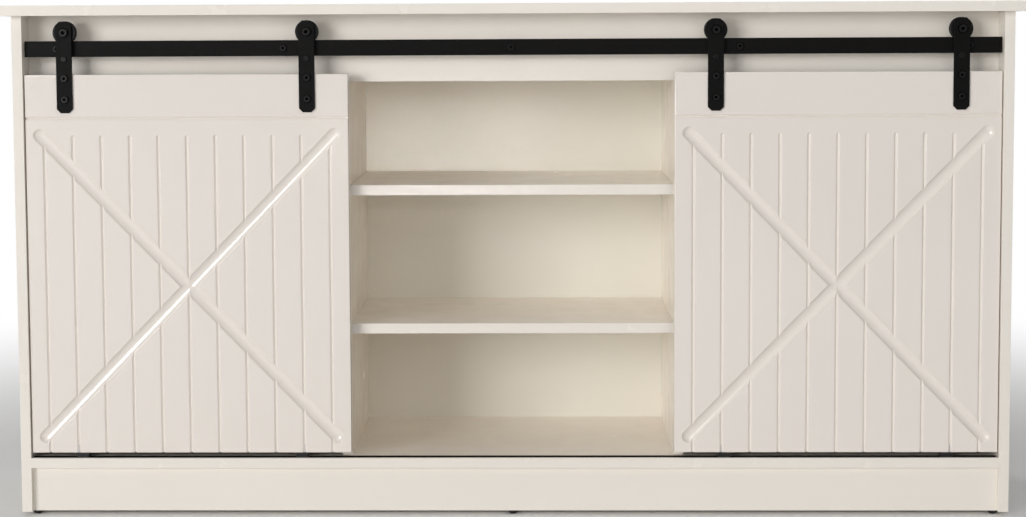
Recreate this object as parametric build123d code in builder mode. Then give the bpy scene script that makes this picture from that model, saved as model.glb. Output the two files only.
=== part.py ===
from build123d import *
import math
import os

# Low TV stand: a laminated board carcass with an open middle of three bays, and on each side
# a cupboard behind a sliding door that hangs on wheels from a flat steel rail.
# Millimetres. X runs along the width, the front faces -Y and Z is up.
# The origin is on the floor, under the centre of the top.

os.makedirs("parts", exist_ok=True)

# Driving dimensions
board = 16
top_width, top_depth, top_height = 1600, 350, 810
body_width = 1564
front_overhang = 20
back_panel_thickness = 3
back_lip = 3
foot_height = 6
bottom_board_top = 92.5
plinth_recess = 9
niche_width = 512
niche_shelf_tops = {"lower": 303, "upper": 524}
bay_shelf_top = 408
door_width, door_height, door_bottom = 509, 601, 100.5
door_side_gap = 1.5
header_bottom, header_front_depth = 688, 42
divider_front_depth, niche_shelf_front_depth, bay_shelf_front_depth = 29, 31, 50
rail_height, rail_thickness, rail_bottom, rail_length = 25, 5, 729.5, 1528
rail_screw_pitch, rail_screw_count = 357, 5
strap_width, strap_thickness, strap_bottom, strap_inset = 25, 3, 641.5, 64
wheel_radius, wheel_tread_radius, wheel_width, wheel_gap = 18, 12.7, 11.6, 0.3

# Places that follow from them
top_rear = top_depth / 2
body_front = front_overhang - top_depth / 2
body_rear = top_rear - back_lip - back_panel_thickness
body_half = body_width / 2
inner_half = body_half - board
niche_half = niche_width / 2
divider_half = niche_half + board
top_underside = top_height - board
bottom_board_underside = bottom_board_top - board
divider_front = body_front + divider_front_depth
header_front = body_front + header_front_depth
header_rear = header_front + board
header_middle = header_front + board / 2
bay_shelf_front = body_front + bay_shelf_front_depth
plinth_front_face = body_front + plinth_recess
side_middle = body_half - board / 2
divider_middle = niche_half + board / 2
bottom_board_middle = bottom_board_top - board / 2
door_front = body_front + 4
door_rear = door_front + board
door_outer = inner_half - door_side_gap
door_inner = door_outer - door_width
door_middle = (door_outer + door_inner) / 2
door_top = door_bottom + door_height
strap_front = door_front - strap_thickness
rail_middle = body_front + 11
rail_front = rail_middle - rail_thickness / 2
rail_rear = rail_middle + rail_thickness / 2
rail_centre_height = rail_bottom + rail_height / 2
axle_height = rail_bottom + rail_height + wheel_tread_radius + wheel_gap
strap_places = {"outer": door_outer - strap_inset, "inner": door_inner + strap_inset}
sides = {"left": -1, "right": 1}


def block(x_low, x_high, y_low, y_high, z_low, z_high, mode=Mode.ADD):
    """Adds a rectangular block between two corners to the part that is being built."""
    centre = ((x_low + x_high) / 2, (y_low + y_high) / 2, (z_low + z_high) / 2)
    with Locations(centre):
        Box(abs(x_high - x_low), abs(y_high - y_low), abs(z_high - z_low), mode=mode)


def rod(start, direction, radius, length, mode=Mode.ADD):
    """Adds or cuts a round rod that begins at start and runs along direction."""
    with BuildSketch(Plane(origin=start, z_dir=direction)) as profile:
        Circle(radius)
    extrude(profile.sketch, amount=length, mode=mode)


def ring(start, direction, outer_radius, inner_radius, length):
    """Adds a plain ring, such as a washer or a spacer."""
    with BuildSketch(Plane(origin=start, z_dir=direction)) as profile:
        Circle(outer_radius)
        Circle(inner_radius, mode=Mode.SUBTRACT)
    extrude(profile.sketch, amount=length)


def hexagon(start, direction, corner_radius, length, mode=Mode.ADD):
    """Adds or cuts a hexagonal prism, such as a nut or a key socket."""
    with BuildSketch(Plane(origin=start, z_dir=direction)) as profile:
        RegularPolygon(corner_radius, 6)
    extrude(profile.sketch, amount=length, mode=mode)


# Cam fittings: a round cam in one board pulls on the headed bolt screwed into the next board
cam_radius, cam_depth, cam_setback = 7.5, 12.5, 34
bolt_shank_radius, bolt_thread_radius, bolt_thread_depth = 3.5, 2.5, 11
bolt_reach = cam_setback - cam_radius - 0.1
fitting_rows = (-60, 120)
upright_middles = {side_middle: inner_half, divider_middle: divider_half}

with BuildPart() as cam_locks:
    for sign in sides.values():
        for y in fitting_rows:
            rod((sign * inner_half, y, top_underside - cam_setback), (sign, 0, 0), cam_radius, cam_depth)
            rod((sign * divider_half, y, top_underside - cam_setback), (-sign, 0, 0), cam_radius, cam_depth)
            rod((sign * (inner_half - cam_setback), y, bottom_board_underside), (0, 0, 1), cam_radius, cam_depth)
cam_locks.part.label = "cam_locks"
export_step(cam_locks.part, "parts/cam_locks.step")

with BuildPart() as cam_bolts:
    for sign in sides.values():
        for y in fitting_rows:
            for upright_middle in upright_middles:
                seat = (sign * upright_middle, y, top_underside)
                rod(seat, (0, 0, -1), bolt_shank_radius, bolt_reach)
                rod(seat, (0, 0, 1), bolt_thread_radius, bolt_thread_depth)
            seat = (sign * inner_half, y, bottom_board_middle)
            rod(seat, (-sign, 0, 0), bolt_shank_radius, bolt_reach)
            rod(seat, (sign, 0, 0), bolt_thread_radius, bolt_thread_depth)
cam_bolts.part.label = "cam_bolts"
export_step(cam_bolts.part, "parts/cam_bolts.step")

# Joining screws: two up into each divider and two through each divider into each niche shelf
screw_length, screw_radius, screw_head_radius, screw_head_height = 50, 3.5, 5, 3

with BuildPart() as joining_screws:
    for sign in sides.values():
        for y in fitting_rows:
            seat = (sign * divider_middle, y, bottom_board_underside)
            rod(seat, (0, 0, 1), screw_radius, screw_length)
            rod(seat, (0, 0, 1), screw_head_radius, screw_head_height)
            for shelf_top in niche_shelf_tops.values():
                seat = (sign * divider_half, y, shelf_top - board / 2)
                rod(seat, (-sign, 0, 0), screw_radius, screw_length)
                rod(seat, (-sign, 0, 0), screw_head_radius, screw_head_height)
joining_screws.part.label = "joining_screws"
export_step(joining_screws.part, "parts/joining_screws.step")

# Wooden dowels: they line up the header and the plinths with the sides, and the header with the top
dowel_radius, dowel_short_end, dowel_long_end = 4, 10, 20
plinth_rows = {"front": plinth_front_face + board / 2, "rear": body_rear - board / 2}
plinth_dowel_heights = (25, 58)
header_dowel_heights = (710, 772)
header_top_dowels = (-400, 400)

with BuildPart() as wood_dowels:
    for sign in sides.values():
        inward = sign * (inner_half + dowel_short_end)
        for height in header_dowel_heights:
            rod((inward, header_middle, height), (-sign, 0, 0), dowel_radius, dowel_short_end + dowel_long_end)
        for y in plinth_rows.values():
            for height in plinth_dowel_heights:
                rod((inward, y, height), (-sign, 0, 0), dowel_radius, dowel_short_end + dowel_long_end)
    for x in header_top_dowels:
        rod(
            (x, header_middle, top_underside + dowel_short_end),
            (0, 0, -1),
            dowel_radius,
            dowel_short_end + dowel_long_end,
        )
wood_dowels.part.label = "wood_dowels"
export_step(wood_dowels.part, "parts/wood_dowels.step")

# Corner blocks behind the plinths, each with one screw up into the bottom board and one into the plinth
block_size, block_length = 20, 36
block_places = (-520, 0, 520)
block_screw_radius, block_screw_length, block_screw_head_radius, block_screw_head_height = 2, 28, 4, 2
block_faces = {plinth_front_face + board: 1, body_rear - board: -1}

with BuildPart() as plinth_screws:
    for face, inward in block_faces.items():
        for x in block_places:
            upright = (x - block_length / 4, face + inward * block_size / 2, bottom_board_underside - block_size)
            level = (x + block_length / 4, face + inward * block_size, bottom_board_underside - block_size / 2)
            rod(upright, (0, 0, 1), block_screw_radius, block_screw_length)
            rod(upright, (0, 0, -1), block_screw_head_radius, block_screw_head_height)
            rod(level, (0, -inward, 0), block_screw_radius, block_screw_length)
            rod(level, (0, inward, 0), block_screw_head_radius, block_screw_head_height)
plinth_screws.part.label = "plinth_screws"
export_step(plinth_screws.part, "parts/plinth_screws.step")

with BuildPart() as plinth_blocks:
    for face, inward in block_faces.items():
        for x in block_places:
            block(
                x - block_length / 2,
                x + block_length / 2,
                face,
                face + inward * block_size,
                bottom_board_underside - block_size,
                bottom_board_underside,
            )
    add(plinth_screws.part, mode=Mode.SUBTRACT)
plinth_blocks.part.label = "plinth_blocks"
export_step(plinth_blocks.part, "parts/plinth_blocks.step")

# Feet: glides with a domed plastic foot, nailed up into both ends and the middle of each plinth
glide_radius, glide_flat_radius, glide_nail_radius, glide_nail_length = 8.2, 4, 1.2, 12
glide_columns = (5 - inner_half, 0, inner_half - 5)
glide_places = [(x, y) for x in glide_columns for y in plinth_rows.values()]

with BuildPart() as glide_feet:
    for x, y in glide_places:
        with BuildSketch(Plane(origin=(x, y, 0), x_dir=(1, 0, 0), z_dir=(0, -1, 0))):
            with BuildLine():
                Polyline((0, foot_height), (0, 0), (glide_flat_radius, 0))
                ThreePointArc(
                    (glide_flat_radius, 0), (glide_radius - 1, foot_height * 0.4), (glide_radius, foot_height)
                )
                Line((glide_radius, foot_height), (0, foot_height))
            make_face()
        revolve(axis=Axis((x, y, 0), (0, 0, 1)))
        rod((x, y, foot_height), (0, 0, 1), glide_nail_radius, glide_nail_length)
glide_feet.part.label = "glide_feet"
export_step(glide_feet.part, "parts/glide_feet.step")

# Shelf pins under the cupboard shelves, in the middle hole of three
pin_radius, pin_in_board, pin_out, pin_hole_depth, pin_hole_pitch = 2.5, 8, 7, 9, 64
pin_rows = (-70, 130)
bay_shelf_underside = bay_shelf_top - board
pin_height = bay_shelf_underside - pin_radius
bay_walls = ((inner_half, 1), (divider_half, -1))

with BuildPart() as shelf_pins:
    for sign in sides.values():
        for wall, outward in bay_walls:
            for y in pin_rows:
                start = (sign * (wall - outward * pin_out), y, pin_height)
                rod(start, (sign * outward, 0, 0), pin_radius, pin_out + pin_in_board)
shelf_pins.part.label = "shelf_pins"
export_step(shelf_pins.part, "parts/shelf_pins.step")

# Door rail: a flat bar stood off the header board by round spacers
rail_screws_x = [rail_screw_pitch * (i - rail_screw_count // 2) for i in range(rail_screw_count)]
rail_screw_radius, rail_screw_bite, rail_head_radius, rail_head_height = 3, 14, 5.5, 2.8
spacer_radius = 8

with BuildPart() as rail_screws:
    for x in rail_screws_x:
        start = (x, rail_front, rail_centre_height)
        rod(start, (0, 1, 0), rail_screw_radius, header_front - rail_front + rail_screw_bite)
        rod(start, (0, -1, 0), rail_head_radius, rail_head_height)
        hexagon((x, rail_front - rail_head_height, rail_centre_height), (0, 1, 0), 2.3, 2, mode=Mode.SUBTRACT)
rail_screws.part.label = "rail_screws"
export_step(rail_screws.part, "parts/rail_screws.step")

with BuildPart() as rail_spacers:
    for x in rail_screws_x:
        start = (x, rail_rear, rail_centre_height)
        ring(start, (0, 1, 0), spacer_radius, rail_screw_radius, header_front - rail_rear)
rail_spacers.part.label = "rail_spacers"
export_step(rail_spacers.part, "parts/rail_spacers.step")

with BuildPart() as door_rail:
    block(
        -rail_length / 2, rail_length / 2, rail_front, rail_rear, rail_bottom, rail_bottom + rail_height
    )
    for x in rail_screws_x:
        rod((x, rail_front, rail_centre_height), (0, 1, 0), rail_screw_radius, rail_thickness, Mode.SUBTRACT)
door_rail.part.label = "door_rail"
export_step(door_rail.part, "parts/door_rail.step")

# Bottom track: a steel channel let into the bottom board, which keeps the doors from swinging
track_width, track_depth, track_wall = 14, 8, 1.2
track_middle = body_front + 13
track_floor = bottom_board_top - track_depth
track_screws_x = (-700, -350, 0, 350, 700)
track_screw_radius, track_screw_length, track_head_radius, track_head_height = 1.5, 7, 3, 1.2

with BuildPart() as track_screws:
    for x in track_screws_x:
        seat = (x, track_middle, track_floor + track_wall)
        rod(seat, (0, 0, -1), track_screw_radius, track_screw_length)
        rod(seat, (0, 0, 1), track_head_radius, track_head_height)
track_screws.part.label = "track_screws"
export_step(track_screws.part, "parts/track_screws.step")

with BuildPart() as bottom_track:
    track_front, track_rear = track_middle - track_width / 2, track_middle + track_width / 2
    block(-inner_half, inner_half, track_front, track_rear, track_floor, bottom_board_top)
    block(
        -inner_half,
        inner_half,
        track_front + track_wall,
        track_rear - track_wall,
        track_floor + track_wall,
        bottom_board_top,
        mode=Mode.SUBTRACT,
    )
    add(track_screws.part, mode=Mode.SUBTRACT)
bottom_track.part.label = "bottom_track"
export_step(bottom_track.part, "parts/bottom_track.step")

# Boards of the carcass, each bored for the fittings that enter it
with BuildPart() as top_panel:
    block(-top_width / 2, top_width / 2, -top_rear, top_rear, top_underside, top_height)
    for fitting in (cam_bolts, wood_dowels):
        add(fitting.part, mode=Mode.SUBTRACT)
top_panel.part.label = "top_panel"
export_step(top_panel.part, "parts/top_panel.step")

for side, sign in sides.items():
    with BuildPart() as side_panel:
        block(sign * inner_half, sign * body_half, body_front, body_rear, foot_height, top_underside)
        for y in pin_rows:
            for step in (-1, 0, 1):
                start = (sign * inner_half, y, pin_height + step * pin_hole_pitch)
                rod(start, (sign, 0, 0), pin_radius, pin_hole_depth, Mode.SUBTRACT)
        for fitting in (cam_locks, cam_bolts, wood_dowels):
            add(fitting.part, mode=Mode.SUBTRACT)
    side_panel.part.label = f"side_panel_{side}"
    export_step(side_panel.part, f"parts/side_panel_{side}.step")

for side, sign in sides.items():
    with BuildPart() as divider:
        block(sign * niche_half, sign * divider_half, divider_front, body_rear, bottom_board_top, top_underside)
        block(
            sign * niche_half,
            sign * divider_half,
            divider_front,
            header_rear,
            header_bottom,
            top_underside,
            mode=Mode.SUBTRACT,
        )
        for y in pin_rows:
            for step in (-1, 0, 1):
                start = (sign * divider_half, y, pin_height + step * pin_hole_pitch)
                rod(start, (-sign, 0, 0), pin_radius, pin_hole_depth, Mode.SUBTRACT)
        for fitting in (cam_locks, cam_bolts, joining_screws):
            add(fitting.part, mode=Mode.SUBTRACT)
    divider.part.label = f"divider_{side}"
    export_step(divider.part, f"parts/divider_{side}.step")

with BuildPart() as bottom_panel:
    block(-inner_half, inner_half, body_front, body_rear, bottom_board_underside, bottom_board_top)
    block(
        -inner_half, inner_half, track_front, track_rear, track_floor, bottom_board_top, mode=Mode.SUBTRACT
    )
    for fitting in (cam_locks, cam_bolts, joining_screws, plinth_screws, track_screws):
        add(fitting.part, mode=Mode.SUBTRACT)
bottom_panel.part.label = "bottom_panel"
export_step(bottom_panel.part, "parts/bottom_panel.step")

with BuildPart() as header_board:
    block(-inner_half, inner_half, header_front, header_rear, header_bottom, top_underside)
    for fitting in (wood_dowels, rail_screws):
        add(fitting.part, mode=Mode.SUBTRACT)
header_board.part.label = "header_board"
export_step(header_board.part, "parts/header_board.step")

for place, middle in plinth_rows.items():
    with BuildPart() as plinth:
        block(
            -inner_half,
            inner_half,
            middle - board / 2,
            middle + board / 2,
            foot_height,
            bottom_board_underside,
        )
        for fitting in (wood_dowels, plinth_screws, glide_feet):
            add(fitting.part, mode=Mode.SUBTRACT)
    plinth.part.label = f"plinth_{place}"
    export_step(plinth.part, f"parts/plinth_{place}.step")

for level, shelf_top in niche_shelf_tops.items():
    with BuildPart() as niche_shelf:
        block(
            -niche_half,
            niche_half,
            body_front + niche_shelf_front_depth,
            body_rear,
            shelf_top - board,
            shelf_top,
        )
        add(joining_screws.part, mode=Mode.SUBTRACT)
    niche_shelf.part.label = f"niche_shelf_{level}"
    export_step(niche_shelf.part, f"parts/niche_shelf_{level}.step")

shelf_side_play = 1
for side, sign in sides.items():
    with BuildPart() as bay_shelf:
        block(
            sign * (divider_half + shelf_side_play),
            sign * (inner_half - shelf_side_play),
            bay_shelf_front,
            body_rear - shelf_side_play,
            bay_shelf_underside,
            bay_shelf_top,
        )
    bay_shelf.part.label = f"bay_shelf_{side}"
    export_step(bay_shelf.part, f"parts/bay_shelf_{side}.step")

# Back: three thin panels that meet behind the dividers, nailed to the rear edges of the boards
back_joint_gap, back_edge_inset = 1, 1
back_spans = {
    "left": (-body_half + back_edge_inset, -divider_middle - back_joint_gap),
    "centre": (-divider_middle + back_joint_gap, divider_middle - back_joint_gap),
    "right": (divider_middle + back_joint_gap, body_half - back_edge_inset),
}
for place, (x_low, x_high) in back_spans.items():
    with BuildPart() as back_panel:
        block(
            x_low,
            x_high,
            body_rear,
            body_rear + back_panel_thickness,
            bottom_board_underside,
            top_underside,
        )
    back_panel.part.label = f"back_panel_{place}"
    export_step(back_panel.part, f"parts/back_panel_{place}.step")

nail_radius, nail_length, nail_head_radius, nail_head_height = 0.9, 18, 2.2, 0.8
nail_columns = [
    sign * (middle + shift)
    for sign in sides.values()
    for middle, shift in ((side_middle, 0), (divider_middle, 4.5), (divider_middle, -4.5))
]
nail_heights = [bottom_board_top + 50 + 150 * i for i in range(5)]
nail_row = [-640, -520, -400, -140, 0, 140, 400, 520, 640]
nail_places = [(x, z) for x in nail_columns for z in nail_heights]
nail_places += [(x, bottom_board_middle) for x in nail_row]

with BuildPart() as back_panel_nails:
    for x, z in nail_places:
        seat = (x, body_rear + back_panel_thickness, z)
        rod(seat, (0, -1, 0), nail_radius, nail_length)
        rod(seat, (0, 1, 0), nail_head_radius, nail_head_height)
back_panel_nails.part.label = "back_panel_nails"
export_step(back_panel_nails.part, "parts/back_panel_nails.step")

# Door hardware sizes
axle_radius, axle_head_radius, axle_head_height = 4, 7, 4
washer_radius, washer_thickness, wheel_side_play = 7.5, 0.8, 0.2
nut_thickness, nut_corner_radius = 5, 7.4
strap_bolt_heights = (662.8, 695.9)
strap_bolt_radius, strap_head_radius, strap_head_height = 3, 6, 3
strap_nut_thickness, strap_nut_corner_radius = 4, 5.8
stop_pin_radius, stop_pin_head_radius, stop_pin_head_height, stop_pin_gap = 3, 4.5, 2, 0.5
stop_pin_height = rail_bottom - stop_pin_gap - stop_pin_radius
strap_corner_cut = 6
strap_top = axle_height + 17.5
wheel_front = rail_middle - wheel_width / 2
wheel_rear = rail_middle + wheel_width / 2

# Door guides: a foot under the door edge with a tongue that runs in the bottom track
guide_inset, guide_width, guide_height = 79.5, 21.5, 3.5
guide_plate_depth, tongue_width, tongue_depth, tongue_bottom = 14, 18, 9, 88
guide_places = {"outer": door_outer - guide_inset, "inner": door_inner + guide_inset}
guide_pin_radius, guide_pin_height, guide_pin_shift = 2, 12, 5
guide_pin_front, guide_pin_rear = door_front + 4.2, door_front + 11.5

# Milled pattern of the doors
plank_pitch, plank_groove_count = 45, 11
groove_width, groove_depth = 5.8, 3
cross_groove_below_top = 68.7
cross_height = door_bottom + 266
arm_reach_x, arm_reach_z = 232, 240
plank_groove_top = cross_height + arm_reach_z
cove_width, cove_depth = 20.5, 4.8
cove_radius = (cove_width**2 / 4 + cove_depth**2) / (2 * cove_depth)
arm_angle = math.degrees(math.atan2(arm_reach_x, arm_reach_z))
arm_length = 2 * math.hypot(arm_reach_x, arm_reach_z)
cutter_lead = 1
groove_half_out = groove_width / 2 * (groove_depth + cutter_lead) / groove_depth

for side, sign in sides.items():
    middle = sign * door_middle

    with BuildPart() as strap_bolts:
        for x in strap_places.values():
            for height in strap_bolt_heights:
                seat = (sign * x, strap_front, height)
                shank = strap_thickness + board + strap_nut_thickness + 0.5
                rod(seat, (0, 1, 0), strap_bolt_radius, shank)
                rod(seat, (0, -1, 0), strap_head_radius, strap_head_height)
                hexagon((seat[0], strap_front - strap_head_height, height), (0, 1, 0), 2.3, 2, Mode.SUBTRACT)
    strap_bolts.part.label = f"strap_bolts_{side}"
    export_step(strap_bolts.part, f"parts/strap_bolts_{side}.step")

    with BuildPart() as strap_nuts:
        for x in strap_places.values():
            for height in strap_bolt_heights:
                seat = (sign * x, door_rear, height)
                hexagon(seat, (0, 1, 0), strap_nut_corner_radius, strap_nut_thickness)
        add(strap_bolts.part, mode=Mode.SUBTRACT)
    strap_nuts.part.label = f"strap_nuts_{side}"
    export_step(strap_nuts.part, f"parts/strap_nuts_{side}.step")

    with BuildPart() as axle_bolts:
        for x in strap_places.values():
            seat = (sign * x, strap_front, axle_height)
            shank = wheel_rear + wheel_side_play + washer_thickness + nut_thickness - strap_front
            rod(seat, (0, 1, 0), axle_radius, shank)
            rod(seat, (0, -1, 0), axle_head_radius, axle_head_height)
            hexagon((seat[0], strap_front - axle_head_height, axle_height), (0, 1, 0), 3, 2.5, Mode.SUBTRACT)
    axle_bolts.part.label = f"axle_bolts_{side}"
    export_step(axle_bolts.part, f"parts/axle_bolts_{side}.step")

    with BuildPart() as axle_washers:
        for x in strap_places.values():
            front_washer = (sign * x, door_front, axle_height)
            rear_washer = (sign * x, wheel_rear + wheel_side_play, axle_height)
            front_space = wheel_front - wheel_side_play - door_front
            ring(front_washer, (0, 1, 0), washer_radius, axle_radius, front_space)
            ring(rear_washer, (0, 1, 0), washer_radius, axle_radius, washer_thickness)
    axle_washers.part.label = f"axle_washers_{side}"
    export_step(axle_washers.part, f"parts/axle_washers_{side}.step")

    with BuildPart() as axle_nuts:
        for x in strap_places.values():
            seat = (sign * x, wheel_rear + wheel_side_play + washer_thickness, axle_height)
            hexagon(seat, (0, 1, 0), nut_corner_radius, nut_thickness)
            rod(seat, (0, 1, 0), axle_radius, nut_thickness, Mode.SUBTRACT)
    axle_nuts.part.label = f"axle_nuts_{side}"
    export_step(axle_nuts.part, f"parts/axle_nuts_{side}.step")

    with BuildPart() as stop_pins:
        for x in strap_places.values():
            seat = (sign * x, strap_front, stop_pin_height)
            rod(seat, (0, 1, 0), stop_pin_radius, rail_rear + 1.5 - strap_front)
            rod(seat, (0, -1, 0), stop_pin_head_radius, stop_pin_head_height)
    stop_pins.part.label = f"stop_pins_{side}"
    export_step(stop_pins.part, f"parts/stop_pins_{side}.step")

    for place, x in strap_places.items():
        with BuildPart() as strap:
            with BuildSketch(Plane(origin=(sign * x, door_front, 0), x_dir=(1, 0, 0), z_dir=(0, -1, 0))):
                half = strap_width / 2
                with BuildLine():
                    Polyline(
                        (-half, strap_top - strap_corner_cut),
                        (-half, strap_bottom + strap_corner_cut),
                        (-half + strap_corner_cut, strap_bottom),
                        (half - strap_corner_cut, strap_bottom),
                        (half, strap_bottom + strap_corner_cut),
                        (half, strap_top - strap_corner_cut),
                        (half - strap_corner_cut, strap_top),
                        (-half + strap_corner_cut, strap_top),
                        close=True,
                    )
                make_face()
            extrude(amount=strap_thickness)
            for fitting in (strap_bolts, axle_bolts, stop_pins):
                add(fitting.part, mode=Mode.SUBTRACT)
        strap.part.label = f"strap_{side}_{place}"
        export_step(strap.part, f"parts/strap_{side}_{place}.step")

    with BuildPart() as guide_pins:
        for place, x in guide_places.items():
            shift = guide_pin_shift if place == "outer" else -guide_pin_shift
            rod((sign * (x + shift), guide_pin_front, door_bottom), (0, 0, 1), guide_pin_radius, guide_pin_height)
            rod((sign * (x - shift), guide_pin_rear, door_bottom), (0, 0, 1), guide_pin_radius, guide_pin_height)
    guide_pins.part.label = f"guide_pins_{side}"
    export_step(guide_pins.part, f"parts/guide_pins_{side}.step")

    with BuildPart() as door_guides:
        for x in guide_places.values():
            block(
                sign * x - guide_width / 2,
                sign * x + guide_width / 2,
                track_middle - guide_plate_depth / 2,
                track_middle + guide_plate_depth / 2,
                door_bottom - guide_height,
                door_bottom,
            )
            block(
                sign * x - tongue_width / 2,
                sign * x + tongue_width / 2,
                track_middle - tongue_depth / 2,
                track_middle + tongue_depth / 2,
                tongue_bottom,
                door_bottom - guide_height,
            )
    door_guides.part.label = f"door_guides_{side}"
    export_step(door_guides.part, f"parts/door_guides_{side}.step")

    # The door leaf: upright V-grooves as between planks, one level V-groove and a milled cross
    with BuildPart() as door:
        block(middle - door_width / 2, middle + door_width / 2, door_front, door_rear, door_bottom, door_top)
        for i in range(plank_groove_count):
            x = middle + plank_pitch * (i - plank_groove_count // 2)
            with BuildSketch(Plane.XY.offset(door_bottom)):
                with BuildLine():
                    Polyline(
                        (x - groove_half_out, door_front - cutter_lead),
                        (x + groove_half_out, door_front - cutter_lead),
                        (x, door_front + groove_depth),
                        close=True,
                    )
                make_face()
            extrude(amount=plank_groove_top - door_bottom, mode=Mode.SUBTRACT)
            tip_middle = door_front + (groove_depth - cutter_lead) / 2
            with Locations(Location((x, tip_middle, plank_groove_top), (-90, 0, 0))):
                Cone(groove_half_out, 0, groove_depth + cutter_lead, mode=Mode.SUBTRACT)
        with BuildSketch(Plane.YZ.offset(middle - door_width / 2)):
            level = door_top - cross_groove_below_top
            with BuildLine():
                Polyline(
                    (door_front - cutter_lead, level - groove_half_out),
                    (door_front - cutter_lead, level + groove_half_out),
                    (door_front + groove_depth, level),
                    close=True,
                )
            make_face()
        extrude(amount=door_width, mode=Mode.SUBTRACT)
        cutter_axis = door_front + cove_depth - cove_radius
        for lean in (-1, 1):
            with Locations(Location((middle, cutter_axis, cross_height), (0, lean * arm_angle, 0))):
                Cylinder(cove_radius, arm_length, mode=Mode.SUBTRACT)
            for end in (-1, 1):
                with Locations((middle + lean * end * arm_reach_x, cutter_axis, cross_height + end * arm_reach_z)):
                    Sphere(cove_radius, mode=Mode.SUBTRACT)
        for fitting in (strap_bolts, guide_pins):
            add(fitting.part, mode=Mode.SUBTRACT)
    door.part.label = f"door_{side}"
    export_step(door.part, f"parts/door_{side}.step")

    # Wheels: a tread between two flanges that straddle the rail
    for place, x in strap_places.items():
        bore = axle_radius + 0.05
        with BuildPart() as wheel:
            hub = (sign * x, rail_middle, axle_height)
            half = wheel_width / 2
            with BuildSketch(Plane(origin=hub, x_dir=(0, 1, 0), z_dir=(1, 0, 0))):
                with BuildLine():
                    Polyline(
                        (-half, bore),
                        (-half, wheel_radius - 1),
                        (1 - half, wheel_radius),
                        (-4.2, wheel_radius),
                        (-3.2, wheel_tread_radius),
                        (3.2, wheel_tread_radius),
                        (4.2, wheel_radius),
                        (half - 1, wheel_radius),
                        (half, wheel_radius - 1),
                        (half, bore),
                        close=True,
                    )
                make_face()
            revolve(axis=Axis(hub, (0, 1, 0)))
        wheel.part.label = f"wheel_{side}_{place}"
        export_step(wheel.part, f"parts/wheel_{side}_{place}.step")
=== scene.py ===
"""A low TV stand with two sliding plank doors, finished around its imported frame.

The carcass is cream laminate on particle board with banded edges, the doors are milled fibreboard in a
satin wrap, and they hang on black steel straps from nylon wheels that run on a flat steel bar.
Lengths are metres. X runs to the right, the front faces -Y, Z is up and the floor is at zero.
"""

import math

import bmesh
import bpy
import numpy as np
from mathutils import Matrix, Vector
from mathutils.geometry import delaunay_2d_cdt


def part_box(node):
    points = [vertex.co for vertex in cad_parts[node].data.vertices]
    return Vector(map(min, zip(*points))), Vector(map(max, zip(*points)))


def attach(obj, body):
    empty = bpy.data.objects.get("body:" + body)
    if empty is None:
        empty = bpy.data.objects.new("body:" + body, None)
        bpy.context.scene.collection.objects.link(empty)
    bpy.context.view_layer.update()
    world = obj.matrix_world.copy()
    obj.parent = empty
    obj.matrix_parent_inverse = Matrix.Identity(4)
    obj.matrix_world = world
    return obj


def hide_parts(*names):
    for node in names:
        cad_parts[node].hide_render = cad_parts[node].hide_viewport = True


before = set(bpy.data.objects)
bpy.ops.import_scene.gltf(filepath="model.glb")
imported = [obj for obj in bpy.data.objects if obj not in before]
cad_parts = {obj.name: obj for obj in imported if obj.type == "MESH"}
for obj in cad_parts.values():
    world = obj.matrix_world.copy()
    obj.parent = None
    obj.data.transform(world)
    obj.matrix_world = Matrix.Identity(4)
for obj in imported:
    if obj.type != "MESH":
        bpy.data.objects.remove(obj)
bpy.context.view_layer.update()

MM = 0.001
WELD = 1e-7
CABINET = "cabinet"
ARC_STEPS = 4
TURNED_ARC_STEPS = 3

# ---------------------------------------------------------------------------
# Shapes: outlines, bars, turned pieces, and the piece that they become
# ---------------------------------------------------------------------------


def rounded_outline(corners, radius, steps=ARC_STEPS):
    """A closed anticlockwise outline with an arc at each corner.

    An arc starts radius x tan(turn / 2) before its corner, and its points lie at that radius from a
    centre square to the side before. Returns the points, their outward directions and how far each
    is round its bend, 0 at the ends and 1 halfway.
    """
    corners = np.asarray(corners, float)
    radius = np.broadcast_to(np.asarray(radius, float), len(corners))[:, None]
    before = corners - np.roll(corners, 1, axis=0)
    after = np.roll(corners, -1, axis=0) - corners
    before /= np.linalg.norm(before, axis=1, keepdims=True)
    after /= np.linalg.norm(after, axis=1, keepdims=True)
    crossed = before[:, 0] * after[:, 1] - before[:, 1] * after[:, 0]
    turn = np.arctan2(crossed, (before * after).sum(1))[:, None]
    square = np.stack([before[:, 1], -before[:, 0]], -1)
    side = np.sign(turn)
    centre = corners - before * radius * np.tan(abs(turn) / 2) - side * radius * square
    part = np.linspace(0, 1, steps + 1)
    angle = np.arctan2(square[:, 1], square[:, 0])[:, None] + turn * part
    outward = np.stack([np.cos(angle), np.sin(angle)], -1)
    points = centre[:, None] + (side * radius)[:, :, None] * outward
    bend = np.broadcast_to(np.sin(np.pi * part), angle.shape)
    return points.reshape(-1, 2), outward.reshape(-1, 2), bend.ravel()


def rectangle(low, high, radius):
    """A rounded rectangle between two opposite corners."""
    (a, b), (c, d) = low, high
    return rounded_outline([(a, b), (c, b), (c, d), (a, d)], radius)


def grid_faces(rows, columns, joined_rows):
    """Quads between neighbouring rows. A row's last point meets its first, and so may the last row."""
    strips = rows if joined_rows else rows - 1
    row, column = np.meshgrid(np.arange(strips), np.arange(columns), indexing="ij")
    next_row, next_column = (row + 1) % rows, (column + 1) % columns
    corners = [(row, column), (row, next_column), (next_row, next_column), (next_row, column)]
    return np.stack([r * columns + c for r, c in corners], -1).reshape(-1, 4)


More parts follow.
